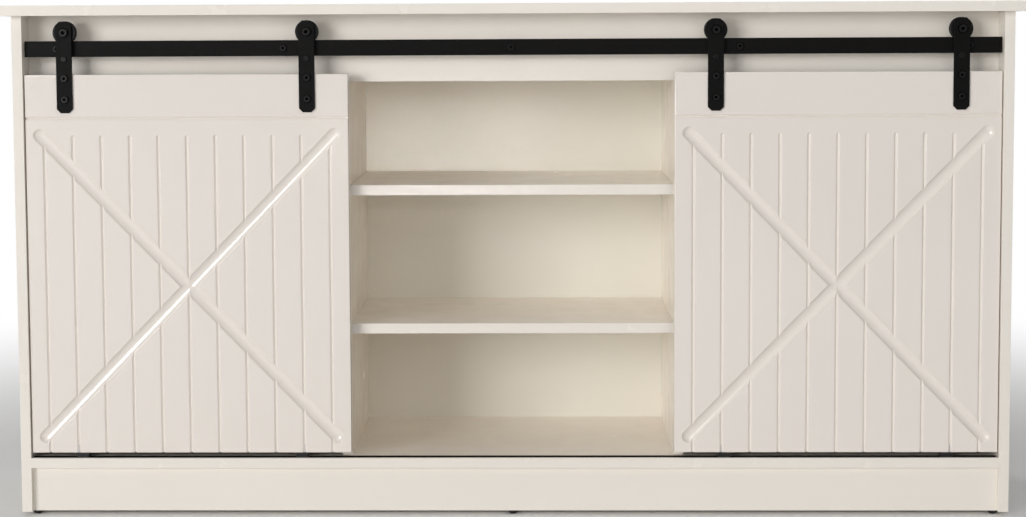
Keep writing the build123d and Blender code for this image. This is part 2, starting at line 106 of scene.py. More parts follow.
def shell(points, normals, wear, joined_rows=False, material=0, cap_material=None):
    """A closed skin from a grid of points: rows x columns x 3.

    Points that fall together become one, a quad that loses a side becomes a triangle, and open ends
    get a flat cap. Where the volume, the sum of each face's centre times its area, comes out negative,
    the faces are turned.
    """
    rows, columns = points.shape[:2]
    points, normals, wear = points.reshape(-1, 3), normals.reshape(-1, 3), wear.ravel()
    places = np.round(points / WELD).astype(np.int64)
    _, first, index = np.unique(places, axis=0, return_index=True, return_inverse=True)
    index = index.ravel()
    quads = index[grid_faces(rows, columns, joined_rows)]
    same = quads == np.roll(quads, -1, axis=1)
    faces = quads[~same.any(1)].tolist()
    for corner in range(4):
        thin = same[:, corner] & (same.sum(1) == 1)
        faces += np.delete(quads[thin], corner, axis=1).tolist()
    kinds = [material] * len(faces)
    if not joined_rows:
        ends = (index[:columns][::-1], index[-columns:])
        cap_kinds = (material, material) if cap_material is None else cap_material
        for ring, kind in zip(ends, cap_kinds):
            ring = ring[ring != np.roll(ring, 1)]
            if len(ring) > 2:
                faces.append(ring.tolist())
                kinds.append(kind)
    points = points[first]
    centre = points.mean(0)
    fan = np.array([(f[0], f[k], f[k + 1]) for f in faces for k in range(1, len(f) - 1)])
    a, b, c = (points[fan[:, k]] - centre for k in range(3))
    if (a * np.cross(b, c)).sum() < 0:
        faces = [f[::-1] for f in faces]
    return {
        "points": points, "normals": normals[first], "wear": wear[first], "faces": faces, "kinds": kinds,
    }


OTHER_AXES = {0: (1, 2), 1: (0, 2), 2: (0, 1)}


def bar(outline, axis, start, end, rim, material=0, cap_material=None):
    """An outline carried along an axis, with rounded ends.

    Near an end the outline draws in by rim x (1 - cos a) while it moves on by rim x sin a, with a from
    0 to 90 degrees, so the end's edge is an arc of that radius.
    """
    flat, outward, bend = outline
    angle = np.linspace(0, np.pi / 2, ARC_STEPS + 1)
    draw_in = rim * (1 - np.cos(angle))
    inset = np.concatenate([draw_in[::-1], draw_in])
    lean = np.concatenate([-np.sin(angle[::-1]), np.sin(angle)])
    along = np.where(lean > 0, end, start) + rim * (lean - np.sign(lean))
    along[ARC_STEPS], along[ARC_STEPS + 1] = start + rim, end - rim
    upright = np.sqrt(1 - np.clip(lean * lean, 0, 1))
    u, v = OTHER_AXES[axis]
    points = np.empty((len(along), len(flat), 3))
    normals = np.empty_like(points)
    for side, k in ((u, 0), (v, 1)):
        points[:, :, side] = flat[None, :, k] - outward[None, :, k] * inset[:, None]
        normals[:, :, side] = outward[None, :, k] * upright[:, None]
    points[:, :, axis] = along[:, None]
    normals[:, :, axis] = lean[:, None]
    on_end_face = upright[:, None] < 0.1
    wear = np.maximum(bend[None, :] * ~on_end_face, abs(2 * lean * upright)[:, None])
    return shell(points, normals, wear, material=material, cap_material=cap_material)


def box(low, high, radius, axis=0, **options):
    """A box with every edge rounded to one radius."""
    u, v = OTHER_AXES[axis]
    outline = rectangle((low[u], low[v]), (high[u], high[v]), radius)
    return bar(outline, axis, low[axis], high[axis], radius, **options)


def turned(profile, radius, centre, axis, steps=40):
    """A closed half-section turned about an axis through a centre.

    The section is (distance from the axis, distance along it). A point at distance d and angle t lies
    at d cos t and d sin t across the axis.
    """
    flat, outward, bend = rounded_outline(profile, radius, TURNED_ARC_STEPS)
    pole = flat[:, 0] < WELD
    along_axis = np.stack([0 * bend, np.sign(flat[:, 1] - flat[:, 1].mean())], -1)
    outward = np.where(pole[:, None], along_axis, outward)
    angle = np.linspace(0, 2 * np.pi, steps, endpoint=False)
    u, v = OTHER_AXES[axis]
    points = np.empty((len(flat), steps, 3))
    normals = np.empty_like(points)
    for grid, section in ((points, flat), (normals, outward)):
        grid[:, :, u] = section[:, :1] * np.cos(angle)
        grid[:, :, v] = section[:, :1] * np.sin(angle)
        grid[:, :, axis] = section[:, 1:]
    points += np.asarray(centre, float)
    wear = np.broadcast_to((bend * ~pole)[:, None], points.shape[:2])
    return shell(points, normals, wear, joined_rows=True)


SOCKET_LIP = 0.25 * MM
HEAD_ROUNDING = 0.22  # of the head's height


def socket_head(centre, radius, base, top, socket, depth, axis=1, sides=48):
    """A round screw head with a six-sided key socket.

    Each row is (radius, place along the axis, how six-sided). A six-sided row's radius at angle t is
    half the width across flats over cos(t mod 60 - 30 degrees). The rows run from the middle of the
    underside, up the side, over the rounded rim and the flat top, and down into the socket.
    """
    way = np.sign(top - base)
    rim = HEAD_ROUNDING * abs(top - base)
    flat_half, floor, drill_point = socket / 2, top - way * depth, way * socket / 5
    side = [(0, base, 0), (radius, base, 0)]
    turn = np.linspace(0, np.pi / 2, ARC_STEPS + 1)
    rounding = [(radius - rim + rim * math.cos(t), top - way * rim * (1 - math.sin(t)), 0) for t in turn]
    lip = [(flat_half + SOCKET_LIP * part, top - way * SOCKET_LIP * drop, 1)
           for part, drop in ((1, 0), (0.3, 0.3), (0, 1))]
    bottom = [(flat_half, floor, 1), (flat_half / 2, floor - 0.6 * drill_point, 0.5),
              (0, floor - drill_point, 0)]
    rows = np.array(side + rounding + lip + bottom)
    rounded, flat_top, lip_rows, wall = slice(3, 6), slice(6, 8), slice(7, 9), slice(9, 11)  # rows by face

    angle = np.linspace(0, 2 * np.pi, sides, endpoint=False)
    hexagon = 1 / np.cos(angle % (np.pi / 3) - np.pi / 6)
    across = rows[:, :1] * (1 + rows[:, 2:] * (hexagon - 1))
    u, v = OTHER_AXES[axis]
    points = np.empty((len(rows), sides, 3))
    points[:, :, u], points[:, :, v] = across * np.cos(angle), across * np.sin(angle)
    points[:, :, axis] = rows[:, 1:2]
    points += np.asarray(centre, float) * np.array([k != axis for k in range(3)])

    down = np.gradient(rows[:, :2], axis=0)
    slope = -way * np.stack([down[:, 1], -down[:, 0]], -1)
    slope /= np.maximum(np.linalg.norm(slope, axis=1, keepdims=True), 1e-12)
    slope[0], slope[1], slope[-1] = (0, -way), (1, 0), (0, way)
    slope[flat_top], slope[wall] = (0, way), (-1, 0)
    normals = np.empty_like(points)
    normals[:, :, u], normals[:, :, v] = slope[:, :1] * np.cos(angle), slope[:, :1] * np.sin(angle)
    normals[:, :, axis] = slope[:, 1:]
    wear = np.zeros(len(rows))
    wear[rounded], wear[lip_rows] = 1, 0.6
    return shell(points, normals, np.broadcast_to(wear[:, None], points.shape[:2]))


def hexagon_outline(centre, corner_radius, round_off):
    """A six-sided outline about a centre: a corner at every 60 degrees, softened."""
    angle = np.arange(6) * np.pi / 3
    corners = np.asarray(centre) + corner_radius * np.stack([np.cos(angle), np.sin(angle)], -1)
    return rounded_outline(corners, round_off, 2)


def piece(name, body, shells, materials, stands_for=()):
    """One object from several shells, riding on a body and standing for its frame nodes."""
    start = np.cumsum([0] + [len(s["points"]) for s in shells])
    faces = [[i + first for i in f] for s, first in zip(shells, start) for f in s["faces"]]
    mesh = bpy.data.meshes.new(name)
    mesh.from_pydata(np.concatenate([s["points"] for s in shells]).tolist(), [], faces)
    mesh.polygons.foreach_set("material_index", [k for s in shells for k in s["kinds"]])
    mesh.polygons.foreach_set("use_smooth", [True] * len(faces))
    worn = mesh.attributes.new("wear", "FLOAT", "POINT")
    worn.data.foreach_set("value", np.concatenate([s["wear"] for s in shells]).astype(np.float32))
    for material in materials:
        mesh.materials.append(material)
    mesh.normals_split_custom_set_from_vertices(np.concatenate([s["normals"] for s in shells]).tolist())
    return place(bpy.data.objects.new(name, mesh), body, stands_for)


def place(thing, body, stands_for=()):
    """Puts an object in the scene, on its body, in place of its frame nodes."""
    bpy.context.scene.collection.objects.link(thing)
    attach(thing, body)
    if stands_for:
        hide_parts(*stands_for)
    return thing


# ---------------------------------------------------------------------------
# Finishes: effects that several materials share, then the materials
# ---------------------------------------------------------------------------


def add(tree, kind, inputs=None, **settings):
    """A node with its settings, and its inputs linked or set."""
    node = tree.nodes.new(kind)
    for key, value in settings.items():
        setattr(node, key, value)
    for key, value in (inputs or {}).items():
        if isinstance(value, bpy.types.NodeSocket):
            tree.links.new(value, node.inputs[key])
        else:
            node.inputs[key].default_value = value
    return node


def effect(name, inputs, output):
    """An empty node group with number inputs and one output. Returns its tree and its input sockets."""
    tree = bpy.data.node_groups.new(name, "ShaderNodeTree")
    for label, value in inputs.items():
        socket = tree.interface.new_socket(name=label, in_out="INPUT", socket_type="NodeSocketFloat")
        socket.default_value = value
    tree.interface.new_socket(name=output, in_out="OUTPUT", socket_type="NodeSocketFloat")
    return tree, tree.nodes.new("NodeGroupInput").outputs


def finish_effect(tree, socket):
    """Sends a socket to the group's output."""
    tree.links.new(socket, tree.nodes.new("NodeGroupOutput").inputs[0])
    return tree


def scaled_position(tree, stretch=(1, 1, 1)):
    """The object's own coordinates, stretched."""
    where = add(tree, "ShaderNodeTexCoord").outputs["Object"]
    return add(tree, "ShaderNodeMapping", {"Vector": where, "Scale": stretch}).outputs["Vector"]


def share_of(tree, mask, amount):
    """A mask times an amount, kept between 0 and 1."""
    return add(tree, "ShaderNodeMath", {0: mask, 1: amount}, operation="MULTIPLY", use_clamp=True).outputs[0]


def mottle_effect():
    """Slow unevenness: cloudy noise between 0 and 1."""
    tree, given = effect("soft mottle", {"Scale": 6.0, "Contrast": 1.0}, "Value")
    noise = add(tree, "ShaderNodeTexNoise",
                {"Vector": scaled_position(tree), "Scale": given["Scale"], "Detail": 4.0, "Roughness": 0.55})
    centred = add(tree, "ShaderNodeMath", {0: noise.outputs["Fac"], 1: 0.5}, operation="SUBTRACT")
    spread = add(tree, "ShaderNodeMath", {0: centred.outputs[0], 1: given["Contrast"], 2: 0.5},
                 operation="MULTIPLY_ADD")
    limit = add(tree, "ShaderNodeClamp", {"Value": spread.outputs[0]})
    return finish_effect(tree, limit.outputs[0])


def relief_effect():
    """The skin of a coating: small soft cells with a finer tooth over them, as a height in metres."""
    tree, given = effect("coating relief", {"Scale": 900.0, "Depth": 1e-5, "Tooth": 0.4}, "Height")
    where = scaled_position(tree)
    cells = add(tree, "ShaderNodeTexVoronoi", {"Vector": where, "Scale": given["Scale"]}, feature="SMOOTH_F1")
    fine = add(tree, "ShaderNodeMath", {0: given["Scale"], 1: 2.7}, operation="MULTIPLY")
    grain = add(tree, "ShaderNodeTexNoise", {"Vector": where, "Scale": fine.outputs[0], "Detail": 3.0})
    both = add(tree, "ShaderNodeMath",
               {0: grain.outputs["Fac"], 1: given["Tooth"], 2: cells.outputs["Distance"]},
               operation="MULTIPLY_ADD")
    height = add(tree, "ShaderNodeMath", {0: both.outputs[0], 1: given["Depth"]}, operation="MULTIPLY")
    return finish_effect(tree, height.outputs[0])


def rim_wear_effect():
    """Rubbed edges: the wear painted on roundings, broken up by noise."""
    tree, given = effect("rim wear", {"Amount": 0.5, "Scale": 60.0}, "Mask")
    worn = add(tree, "ShaderNodeAttribute", attribute_name="wear")
    noise = add(tree, "ShaderNodeTexNoise",
                {"Vector": scaled_position(tree), "Scale": given["Scale"], "Detail": 5.0})
    broken = add(tree, "ShaderNodeMapRange",
                 {"Value": noise.outputs["Fac"], "From Min": 0.35, "From Max": 0.7})
    patchy = add(tree, "ShaderNodeMath", {0: worn.outputs["Fac"], 1: broken.outputs[0]}, operation="MULTIPLY")
    return finish_effect(tree, share_of(tree, patchy.outputs[0], given["Amount"]))


def dust_effect():
    """Fine dust on surfaces that face up, in patches."""
    tree, given = effect("settled dust", {"Amount": 0.2, "Scale": 25.0}, "Mask")
    facing = add(tree, "ShaderNodeSeparateXYZ", {0: add(tree, "ShaderNodeNewGeometry").outputs["Normal"]})
    upward = add(tree, "ShaderNodeMapRange", {"Value": facing.outputs["Z"], "From Min": 0.6, "From Max": 1.0})
    noise = add(tree, "ShaderNodeTexNoise",
                {"Vector": scaled_position(tree), "Scale": given["Scale"], "Detail": 6.0})
    patches = add(tree, "ShaderNodeMapRange",
                  {"Value": noise.outputs["Fac"], "From Min": 0.4, "From Max": 0.75})
    mask = add(tree, "ShaderNodeMath", {0: upward.outputs[0], 1: patches.outputs[0]}, operation="MULTIPLY")
    return finish_effect(tree, share_of(tree, mask.outputs[0], given["Amount"]))


def handling_effect():
    """Faint smears left by hands and cloths: soft noise drawn out upwards, mostly nothing."""
    tree, given = effect("handling smears", {"Amount": 0.3, "Scale": 9.0}, "Mask")
    where = scaled_position(tree, (1.0, 1.0, 0.35))
    noise = add(tree, "ShaderNodeTexNoise",
                {"Vector": where, "Scale": given["Scale"], "Detail": 4.0, "Roughness": 0.5, "Distortion": 0.4})
    smear = add(tree, "ShaderNodeMapRange",
                {"Value": noise.outputs["Fac"], "From Min": 0.45, "From Max": 0.8})
    return finish_effect(tree, share_of(tree, smear.outputs[0], given["Amount"]))


def fibre_effect():
    """Lengthwise fibres: noise drawn out along one axis, with darker pores."""
    tree, given = effect("wood fibres", {"Scale": 30.0, "Pores": 0.4}, "Value")
    where = scaled_position(tree, (0.12, 1.0, 1.0))
    long_noise = add(tree, "ShaderNodeTexNoise",
                     {"Vector": where, "Scale": given["Scale"], "Detail": 6.0, "Distortion": 0.6})
    pore_scale = add(tree, "ShaderNodeMath", {0: given["Scale"], 1: 9.0}, operation="MULTIPLY")
    pore = add(tree, "ShaderNodeTexNoise", {"Vector": where, "Scale": pore_scale.outputs[0], "Detail": 2.0})
    dark = add(tree, "ShaderNodeMapRange", {"Value": pore.outputs["Fac"], "From Min": 0.6, "From Max": 0.75})
    taken = add(tree, "ShaderNodeMath", {0: dark.outputs[0], 1: given["Pores"]}, operation="MULTIPLY")
    value = add(tree, "ShaderNodeMath", {0: long_noise.outputs["Fac"], 1: taken.outputs[0]},
                operation="SUBTRACT", use_clamp=True)
    return finish_effect(tree, value.outputs[0])


EFFECTS = {"mottle": mottle_effect(), "relief": relief_effect(), "rim": rim_wear_effect(),
           "dust": dust_effect(), "smears": handling_effect(), "fibres": fibre_effect()}


def use(tree, name, **values):
    """A shared effect with this material's values. Returns its output."""
    node = add(tree, "ShaderNodeGroup", node_tree=EFFECTS[name])
    for label, value in values.items():
        node.inputs[label].default_value = value
    return node.outputs[0]


def blend_colour(tree, amount, low, high):
    """One colour turning to another as the amount goes from 0 to 1."""
    node = add(tree, "ShaderNodeMix", {"Factor": amount}, data_type="RGBA")
    for socket, value in ((node.inputs[6], low), (node.inputs[7], high)):
        if isinstance(value, bpy.types.NodeSocket):
            tree.links.new(value, socket)
        else:
            socket.default_value = (*value, 1.0)
    return node.outputs[2]


def blend_number(tree, amount, low, high):
    """A number between low and high by the amount."""
    return add(tree, "ShaderNodeMapRange", {"Value": amount, "To Min": low, "To Max": high}).outputs[0]


def bump(tree, height):
    """A normal from a height in metres."""
    given = {"Height": height, "Distance": 1.0, "Strength": 1.0}
    return add(tree, "ShaderNodeBump", given).outputs["Normal"]


def new_material(name):
    """A material with only its output and a Principled shader."""
    material = bpy.data.materials.new(name)
    material.use_nodes = True
    tree = material.node_tree
    tree.nodes.clear()
    shader = tree.nodes.new("ShaderNodeBsdfPrincipled")
    tree.links.new(shader.outputs[0], tree.nodes.new("ShaderNodeOutputMaterial").inputs["Surface"])
    return material, tree, shader


DUST_GREY = (0.42, 0.40, 0.37)
SMEAR_DULLING = 0.16


def coated(name, colour, deep, rough, relief, worn=None, wear=0.0, dust=0.0, smears=0.3, mottle=5.0,
           metal=0.0, specular=0.5):
    """A coated surface: mottled colour, rubbed rims, dust on top, uneven gloss and a skin of relief.

    rough is the least and the most roughness. relief is (cells per metre, depth in metres, tooth).
    """
    material, tree, shader = new_material(name)
    uneven = use(tree, "mottle", Scale=mottle, Contrast=1.8)
    shade = blend_colour(tree, uneven, deep, colour)
    if worn is not None:
        shade = blend_colour(tree, use(tree, "rim", Amount=wear), shade, worn)
    if dust:
        shade = blend_colour(tree, use(tree, "dust", Amount=dust), shade, DUST_GREY)
    tree.links.new(shade, shader.inputs["Base Color"])
    gloss = blend_number(tree, use(tree, "mottle", Scale=mottle * 4, Contrast=2.0), *rough)
    smeared = add(tree, "ShaderNodeMath", {0: use(tree, "smears", Amount=smears), 1: SMEAR_DULLING, 2: gloss},
                  operation="MULTIPLY_ADD", use_clamp=True)
    tree.links.new(smeared.outputs[0], shader.inputs["Roughness"])
    cells, depth, tooth = relief
    height = use(tree, "relief", Scale=cells, Depth=depth, Tooth=tooth)
    tree.links.new(bump(tree, height), shader.inputs["Normal"])
    shader.inputs["Metallic"].default_value = metal
    shader.inputs["Specular IOR Level"].default_value = specular
    return material


CLOUD_SHARE = 0.25
CLOUD_DARK = 0.86


def fibrous(name, light, dark, rough, scale, pores, depth):
    """Bare wood or hardboard: fibres in colour, gloss and relief, with slow clouds in the colour."""
    material, tree, shader = new_material(name)
    fibres = use(tree, "fibres", Scale=scale, Pores=pores)
    cloud = use(tree, "mottle", Scale=8.0, Contrast=1.6)
    shade = blend_colour(tree, fibres, dark, light)
    faded = blend_colour(tree, cloud, [CLOUD_DARK * c for c in dark], light)
    mixed = add(tree, "ShaderNodeMix", {"Factor": CLOUD_SHARE}, data_type="RGBA")
    tree.links.new(shade, mixed.inputs[6])
    tree.links.new(faded, mixed.inputs[7])
    tree.links.new(mixed.outputs[2], shader.inputs["Base Color"])
    tree.links.new(blend_number(tree, fibres, *rough), shader.inputs["Roughness"])
    height = add(tree, "ShaderNodeMath", {0: fibres, 1: depth}, operation="MULTIPLY")
    tree.links.new(bump(tree, height.outputs[0]), shader.inputs["Normal"])
    return material


CREAM = (0.900, 0.848, 0.775)
CREAM_DEEP = (0.885, 0.830, 0.755)
BLUSH = (0.880, 0.815, 0.752)
BLUSH_DEEP = (0.868, 0.802, 0.738)
BARE_PAPER = (0.66, 0.58, 0.49)

laminate = coated(
    "cream laminate", CREAM, CREAM_DEEP, (0.20, 0.27), (1000, 2.0e-6, 0.4),
    worn=BARE_PAPER, wear=0.2, dust=0.03, smears=0.15)
banding = coated(
    "cream edge band", CREAM, CREAM_DEEP, (0.22, 0.28), (1500, 2.5e-6, 0.4),
    worn=BARE_PAPER, wear=0.15, dust=0.03, smears=0.15)
door_wrap = coated(
    "satin door wrap", BLUSH, BLUSH_DEEP, (0.15, 0.19), (900, 1.2e-6, 0.4),
    worn=(0.91, 0.86, 0.81), wear=0.3, smears=0.08, specular=1.0)
door_backing = coated(
    "white door backing", (0.77, 0.73, 0.68), (0.75, 0.71, 0.66), (0.5, 0.6), (1300, 8e-6, 0.6), specular=0.35)
board_white = coated(
    "painted hardboard", (0.860, 0.838, 0.762), (0.840, 0.815, 0.738), (0.32, 0.40), (700, 4e-6, 0.6),
    smears=0.15)
board_brown = fibrous(
    "bare hardboard", (0.33, 0.20, 0.115), (0.20, 0.115, 0.062), (0.72, 0.86), 55.0, 0.35, 4e-5)
powder_coat = coated(
    "black powder coat", (0.0058, 0.0052, 0.0050), (0.0042, 0.0038, 0.0036), (0.50, 0.62), (1500, 2.0e-5, 0.7),
    worn=(0.03, 0.028, 0.026), wear=0.4, dust=0.006, mottle=18.0, specular=0.12)
black_oxide = coated(
    "black oxide screw", (0.0065, 0.006, 0.0058), (0.0045, 0.0042, 0.004), (0.30, 0.44), (2600, 8e-6, 0.6),
    worn=(0.03, 0.029, 0.028), wear=0.4, mottle=60.0, specular=0.3)
nylon = coated(
    "black nylon", (0.0062, 0.0058, 0.0056), (0.0045, 0.0043, 0.0042), (0.38, 0.5), (1700, 1.2e-5, 0.5),
    worn=(0.02, 0.019, 0.018), wear=0.4, mottle=40.0, specular=0.3)
moulding = coated(
    "black moulded plastic", (0.022, 0.021, 0.021), (0.015, 0.0147, 0.0145), (0.42, 0.55), (2200, 2.0e-5, 0.7),
    worn=(0.06, 0.058, 0.056), wear=0.4, dust=0.03, mottle=40.0, specular=0.4)
zinc_plate = coated(
    "bright zinc plate", (0.62, 0.63, 0.65), (0.50, 0.51, 0.53), (0.24, 0.36), (2400, 6e-6, 0.5),
    worn=(0.74, 0.75, 0.77), wear=0.7, mottle=70.0, metal=1.0)
zinc_cast = coated(
    "die-cast zinc", (0.46, 0.46, 0.47), (0.36, 0.36, 0.37), (0.38, 0.52), (1300, 3e-5, 0.8),
    worn=(0.62, 0.62, 0.63), wear=0.6, mottle=50.0, metal=1.0)
beech = fibrous("raw beech", (0.66, 0.46, 0.29), (0.50, 0.31, 0.17), (0.55, 0.7), 90.0, 0.45, 3e-5)

SLOT_MATERIALS = {
    "laminated_board": laminate,
    "door_leaf": door_wrap,
    "back_board": board_white,
    "black_steel": powder_coat,
    "black_screw": black_oxide,
    "wheel_nylon": nylon,
    "black_plastic": moulding,
    "zinc_steel": zinc_plate,
    "zinc_alloy": zinc_cast,
    "beech": beech,
}
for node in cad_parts.values():
    for index, given in enumerate(node.data.materials):
        node.material_slots[index].link = "OBJECT"
        node.material_slots[index].material = SLOT_MATERIALS[given.name.split(".")[0]]

# ---------------------------------------------------------------------------
# Carcass: banded boards
# ---------------------------------------------------------------------------

BAND = 0.8 * MM
ARRIS = 0.35 * MM
BAND_ROUND = 0.375 * MM
SIDE_OF = {"left": (0, 0), "right": (0, 1), "front": (1, 0), "back": (1, 1), "under": (2, 0)}


def banded(low, high, sides):
    """A board and the bands glued to its edges.

    The core stops a band's thickness short of each banded side, and each band is a rounded strip over
    that whole side, so a fine line shows where the two meet.
    """
    core_low, core_high = list(low), list(high)
    strips = []
    for side in sides:
        axis, far = SIDE_OF[side]
        strip_low, strip_high = list(core_low), list(core_high)
        if far:
            core_high[axis] = strip_low[axis] = high[axis] - BAND
        else:
            core_low[axis] = strip_high[axis] = low[axis] + BAND
        strips.append((strip_low, strip_high, axis))
    shells = [box(core_low, core_high, ARRIS, axis=0)]
    for strip_low, strip_high, axis in strips:
        shells.append(box(strip_low, strip_high, BAND_ROUND, axis=2 if axis != 2 else 0, material=1))
    return shells


BOARDS = {
    "top_panel": ("left", "right", "front", "back"),
    "header_board": ("under",),
    "plinth_front": ("under",),
    "plinth_rear": ("under",),
    "niche_shelf_upper": ("front",),
    "niche_shelf_lower": ("front",),
    "bay_shelf_left": ("front",),
    "bay_shelf_right": ("front",),
}
for name, sides in BOARDS.items():
    low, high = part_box(name)
    piece(f"{name}_board", CABINET, banded(low, high, sides), [laminate, banding], [name])

# The bottom board has a slot along its front for the door track.
low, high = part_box("bottom_panel")
slot_low, slot_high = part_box("bottom_track")
section = [
    (low.y + BAND, low.z), (high.y, low.z), (high.y, high.z), (slot_high.y, high.z),
    (slot_high.y, slot_low.z), (slot_low.y, slot_low.z), (slot_low.y, high.z), (low.y + BAND, high.z),
]
core = bar(rounded_outline(section, ARRIS, 3), 0, low.x, high.x, ARRIS)
band = box((low.x, low.y, low.z), (high.x, low.y + BAND, high.z), BAND_ROUND, axis=0, material=1)
piece("bottom_panel_board", CABINET, [core, band], [laminate, banding], ["bottom_panel"])

MERGE = 0.002 * MM
LONG_EDGE, SHARP_FOLD, FLAT_FOLD = 12 * MM, math.radians(60), math.radians(0.5)
ON_FACE = 0.01 * MM


def drilled_board(name):
    """A board with holes: the frame's own shape, merged, pulled back behind its band, edges rounded."""
    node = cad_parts[name]
    low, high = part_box(name)
    work = bmesh.new()
    work.from_mesh(node.data)
    bmesh.ops.remove_doubles(work, verts=work.verts, dist=MERGE)
    bmesh.ops.dissolve_limit(work, angle_limit=FLAT_FOLD, verts=work.verts, edges=work.edges)
    rounding = work.edges.layers.float.new("bevel_weight_edge")
    for edge in work.edges:
        long_and_sharp = edge.calc_length() > LONG_EDGE and edge.calc_face_angle(0) > SHARP_FOLD
        edge[rounding] = 1.0 if long_and_sharp else 0.0
    for vert in work.verts:
        if vert.co.y < low.y + ON_FACE:
            vert.co.y = low.y + BAND
    mesh = bpy.data.meshes.new(f"{name}_board")
    work.to_mesh(mesh)
    work.free()
    mesh.materials.clear()
    mesh.materials.append(laminate)
    board = place(bpy.data.objects.new(f"{name}_board", mesh), CABINET, [name])
    edges = board.modifiers.new("eased edges", "BEVEL")
    edges.width, edges.segments, edges.limit_method = ARRIS, 3, "WEIGHT"
    edges.use_clamp_overlap = False
    return low, high


for name in ("side_panel_left", "side_panel_right", "divider_left", "divider_right"):
    low, high = drilled_board(name)
    top = high.z if name.startswith("side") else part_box("header_board")[0].z
    strip = box((low.x, low.y, low.z), (high.x, low.y + BAND, top), BAND_ROUND, axis=2)
    piece(f"{name}_band", CABINET, [strip], [banding])

for name in ("back_panel_left", "back_panel_centre", "back_panel_right"):
    low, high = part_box(name)
    panel = box(low, high, 0.2 * MM, axis=1, material=1, cap_material=(0, 1))
    piece(f"{name}_sheet", CABINET, [panel], [board_white, board_brown], [name])

# ---------------------------------------------------------------------------
# Door leaves: milled planks and a crossed pair of coves
# ---------------------------------------------------------------------------

PLANK_PITCH = 45 * MM
PLANK_GROOVES = 11
GROOVE_HALF, GROOVE_DEEP, GROOVE_FLOOR = 2.9 * MM, 3.0 * MM, 0.35 * MM
LEVEL_GROOVE_BELOW_TOP = 68.7 * MM
COVE_HALF, COVE_DEEP = 10.25 * MM, 4.8 * MM
COVE_RADIUS = (COVE_HALF**2 + COVE_DEEP**2) / (2 * COVE_DEEP)
CROSS_ABOVE_BOTTOM, CROSS_ACROSS, CROSS_UP = 266 * MM, 232 * MM, 240 * MM
CUTTER_LEAD = 20 * MM
SOFTEN = 0.45 * MM
LEAF_ROUND = 1.6 * MM
BACK_ROUND = 0.6 * MM
# how far from a cut's centre line the mesh has a contour
VEE_CONTOURS = np.array([0.05, 0.35, 0.9, 1.5, 2.0, 2.4, 2.65, 2.9, 3.15, 3.35, 3.6]) * MM
COVE_CONTOURS = np.array(
    [0.05, 1.3, 2.6, 3.9, 5.2, 6.4, 7.5, 8.5, 9.2, 9.7, 10.0, 10.25, 10.45, 10.65, 10.95]) * MM
VEE_END_STEPS, COVE_END_STEPS = 10, 24
RUBBED_AT, RUBBED_WIDTH = 0.4 * MM, 0.5 * MM


def from_segment(points, start, end):
    """Each point's distance from a straight piece of line."""
    along = np.subtract(end, start)
    part = np.clip(((points - start) @ along) / (along @ along), 0, 1)
    return np.linalg.norm(points - start - part[:, None] * along, axis=1)


def softened(depth):
    """A depth that starts gently: max(depth, 0) plus (s - |depth|) squared over 4 s within s of the face."""
    return np.maximum(depth, 0) + np.maximum(SOFTEN - abs(depth), 0) ** 2 / (4 * SOFTEN)


def leaf_cuts(low, high):
    """The centre lines of the cutter's passes: (start, end, whether it is a cove and not a vee)."""
    centre = (low[0] + high[0]) / 2
    cross = low[1] + CROSS_ABOVE_BOTTOM
    level = high[1] - LEVEL_GROOVE_BELOW_TOP
    offsets = (np.arange(PLANK_GROOVES) - (PLANK_GROOVES - 1) / 2) * PLANK_PITCH
    tip = cross + CROSS_UP - GROOVE_HALF
    cuts = [((centre + x, low[1] - CUTTER_LEAD), (centre + x, tip), False) for x in offsets]
    cuts.append(((low[0] - CUTTER_LEAD, level), (high[0] + CUTTER_LEAD, level), False))
    for rise in (-CROSS_UP, CROSS_UP):
        cuts.append(((centre - CROSS_ACROSS, cross - rise), (centre + CROSS_ACROSS, cross + rise), True))
    return cuts


def leaf_depth(points, low, high, cuts):
    """How far the face lies behind the leaf's front plane.

    A vee is (half width - distance) x depth / half width, a little blunt at its floor, a cove is an
    arc's height under the face, and the deepest cut wins. The outer edge adds the drop of a quarter
    circle.
    """
    deepest = np.zeros(len(points))
    for start, end, is_cove in cuts:
        away = from_segment(points, np.array(start), np.array(end))
        if is_cove:
            inside = np.minimum(away, 0.999 * COVE_RADIUS)
            depth = np.sqrt(COVE_RADIUS**2 - inside**2) - (COVE_RADIUS - COVE_DEEP)
        else:
            depth = (GROOVE_HALF - away) * GROOVE_DEEP / GROOVE_HALF
            depth = depth - np.maximum(GROOVE_FLOOR - away, 0) ** 2 / (2 * GROOVE_FLOOR)
        deepest = np.maximum(deepest, softened(depth))
    edge = np.minimum(points - low, high - points).min(1)
    short = np.clip(LEAF_ROUND - edge, 0, LEAF_ROUND)
    return deepest + LEAF_ROUND - np.sqrt(LEAF_ROUND**2 - short**2)


def capsule(start, end, away, steps):
    """The line at one distance round a straight piece, as a closed loop of points."""
    start, end = np.array(start), np.array(end)
    along = (end - start) / np.linalg.norm(end - start)
    heading = math.atan2(along[1], along[0])
    half = np.linspace(-np.pi / 2, np.pi / 2, steps + 1)
    loops = []
    for middle, turn in ((end, heading), (start, heading + np.pi)):
        loops.append(middle + away * np.stack([np.cos(half + turn), np.sin(half + turn)], -1))
    return np.concatenate(loops)


